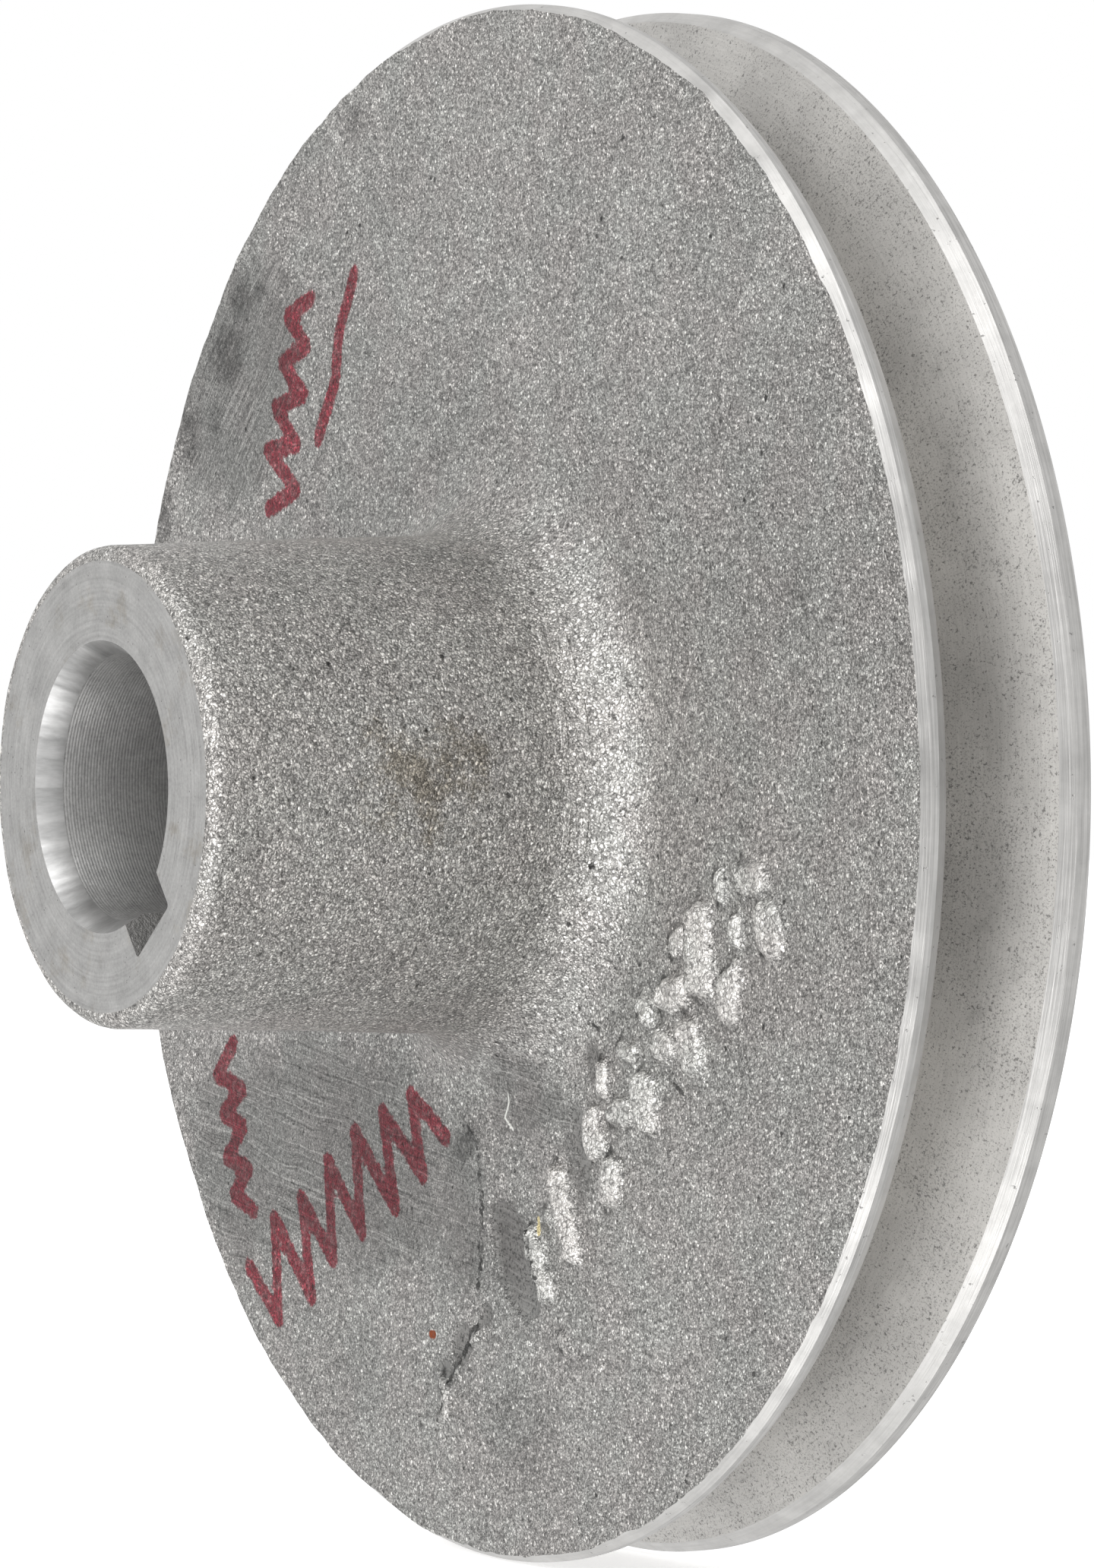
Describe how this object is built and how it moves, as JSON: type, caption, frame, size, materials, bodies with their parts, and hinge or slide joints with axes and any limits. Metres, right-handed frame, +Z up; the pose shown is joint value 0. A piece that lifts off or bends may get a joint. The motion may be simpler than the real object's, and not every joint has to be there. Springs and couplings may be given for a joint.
{
  "type": "v belt pulley",
  "caption": "Cast aluminium pulley for a single V belt, with a disc web and a long keyed hub on one side.",
  "frame": {"origin": "on the bore's axis, in the middle plane of the belt groove", "axes": "+Y along the bore, from the hub's end to the back face; +Z up; the hub is towards -Y"},
  "size_m": [0.15, 0.06, 0.15],
  "materials": {
    "cast_aluminium": "sand-cast skin, with the hub end, bore, groove and rim machined bright"
  },
  "bodies": {
    "root": {"pulley_casting": "cast_aluminium"}
  },
  "joints": []
}
